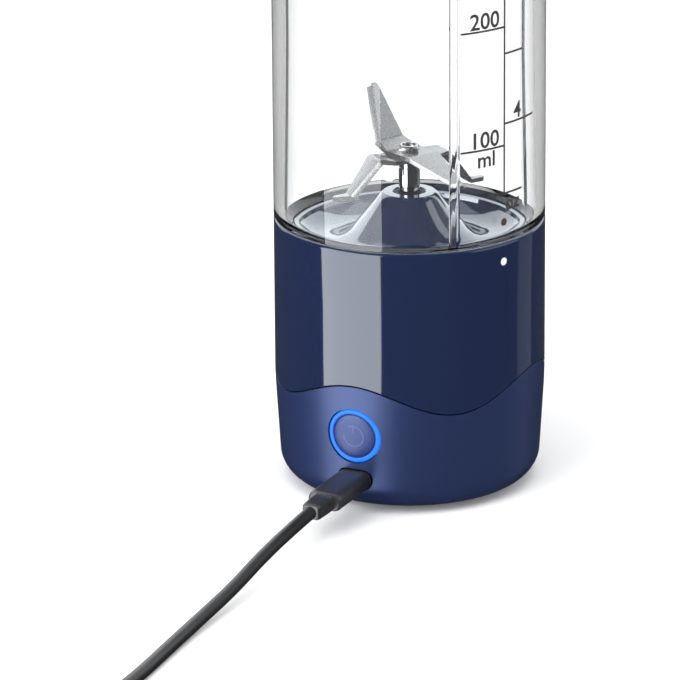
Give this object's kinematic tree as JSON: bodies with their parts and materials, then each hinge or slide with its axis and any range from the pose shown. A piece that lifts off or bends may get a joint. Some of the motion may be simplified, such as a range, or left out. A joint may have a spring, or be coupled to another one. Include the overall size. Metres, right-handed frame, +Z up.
{
  "type": "countertop blender",
  "caption": "Cordless cup blender: battery base with ring-lit button and folded blades, screw-on clear cup, drinking lid with carry loop, charging cable plugged in.",
  "frame": {"origin": "on the floor under the middle of the base", "axes": "+Z up along the cup's axis, power button and charging port towards -Y, +X to the right seen from the button side"},
  "size_m": [0.0749, 0.314, 0.2464],
  "materials": {
    "gloss_shell": "high gloss navy",
    "satin_shell": "fine satin navy",
    "lid_shell": "high gloss navy",
    "loop_plastic": "soft-touch navy",
    "button_satin": "satin navy with a faint engraved symbol",
    "light_lens": "translucent, lit blue",
    "clear_cup": "clear, polished",
    "clear_silicone": "translucent silicone",
    "seal_rubber": "black lip seal",
    "foot_rubber": "fine matt",
    "black_plastic": "moulded",
    "zinc_screw": "bright zinc",
    "cell_can": null,
    "nickel_strip": "nickel",
    "bronze": "sintered bronze",
    "motor_steel": "zinc plated",
    "magnet": "ferrite",
    "circuit_board": "solder mask",
    "copper": "enamelled copper",
    "lamp": "small lamps",
    "spindle_chrome": "polished",
    "blade_steel": "fine brushed stainless",
    "plug_steel": "bright",
    "cable_plastic": "moulded black",
    "cable_jacket": "smooth black jacket"
  },
  "bodies": {
    "base": {"lower_housing": "satin_shell", "upper_housing": "gloss_shell", "bottom_cover": "black_plastic", "cover_screws": "zinc_screw", "foot_ring": "foot_rubber", "seam_sleeve": "black_plastic", "battery_tray": "black_plastic", "battery_cells": "cell_can", "battery_tabs": "nickel_strip", "blade_deck": "gloss_shell", "spindle_bush": "bronze", "spindle_seal": "seal_rubber", "motor_can": "motor_steel", "motor_magnets": "magnet", "motor_end_cap": "black_plastic", "motor_brushes": "bronze", "motor_bushes": "bronze", "motor_plate": "black_plastic", "plate_screws": "zinc_screw", "main_board": "circuit_board", "board_parts": "black_plastic", "charge_board": "circuit_board", "charging_socket": "zinc_screw", "socket_tongue": "black_plastic", "light_ring": "light_lens", "button_guide": "black_plastic", "button_board": "circuit_board", "ring_lamps": "lamp", "tact_switch": "black_plastic"},
    "rotor": {"motor_shaft": "blade_steel", "armature_core": "motor_steel", "armature_windings": "copper", "commutator": "copper", "drive_spindle": "spindle_chrome", "lower_blade": "blade_steel", "upper_blade": "blade_steel", "blade_nut": "blade_steel"},
    "power_button": {"power_button": "button_satin"},
    "cup_seal": {"cup_seal": "clear_silicone"},
    "cup": {"cup": "clear_cup"},
    "lid_seal": {"lid_seal": "clear_silicone"},
    "lid": {"lid": "lid_shell", "loop_pins": "zinc_screw", "cap_pin": "zinc_screw"},
    "flip_cap": {"flip_cap": "lid_shell", "cap_plug": "clear_silicone"},
    "carry_loop": {"carry_loop": "loop_plastic"},
    "charge_cable": {"cable_plug_shell": "plug_steel", "cable_plug": "cable_plastic", "cable_collar": "cable_plastic", "charging_cable": "cable_jacket", "cable_coil": "cable_jacket", "cable_tail": "cable_jacket", "supply_collar": "cable_plastic", "supply_plug": "cable_plastic", "supply_shell": "plug_steel", "supply_tongue": "black_plastic"}
  },
  "joints": [
    {"name": "rotor_spin", "type": "hinge", "parent": "base", "child": "rotor", "pos_m": [0, 0, 0.08], "axis": [0, 0, 1], "continuous": true},
    {"name": "button_press", "type": "slide", "parent": "base", "child": "power_button", "axis": [0, 1, 0], "range_m": [0, 0.0008], "stiffness_N_per_m": 2500},
    {"name": "cup_rise", "type": "slide", "parent": "base", "child": "cup_seal", "axis": [0, 0, 1], "range_m": [0, 0.00501]},
    {"name": "cup_twist", "type": "hinge", "parent": "cup_seal", "child": "cup", "pos_m": [0, 0, 0.066], "axis": [0, 0, 1], "range_deg": [0, 90]},
    {"name": "lid_rise", "type": "slide", "parent": "cup", "child": "lid_seal", "axis": [0, 0, 1], "range_m": [0, 0.00501]},
    {"name": "lid_twist", "type": "hinge", "parent": "lid_seal", "child": "lid", "pos_m": [0, 0, 0.224], "axis": [0, 0, 1], "range_deg": [0, 120]},
    {"name": "flip_cap_hinge", "type": "hinge", "parent": "lid", "child": "flip_cap", "pos_m": [0, 0.0065, 0.2412], "axis": [-1, 0, 0], "range_deg": [0, 125]},
    {"name": "loop_swing", "type": "hinge", "parent": "lid", "child": "carry_loop", "pos_m": [0, 0, 0.2346], "axis": [1, 0, 0], "range_deg": [0, 180]},
    {"name": "cable_pull", "type": "slide", "parent": "base", "child": "charge_cable", "axis": [0, -1, 0], "range_m": [0, 0.012]}
  ],
  "couplings": [
    {"joint": "cup_rise", "follows": "cup_twist", "m_per_rad": 0.0031831},
    {"joint": "lid_rise", "follows": "lid_twist", "m_per_rad": 0.0023873}
  ]
}
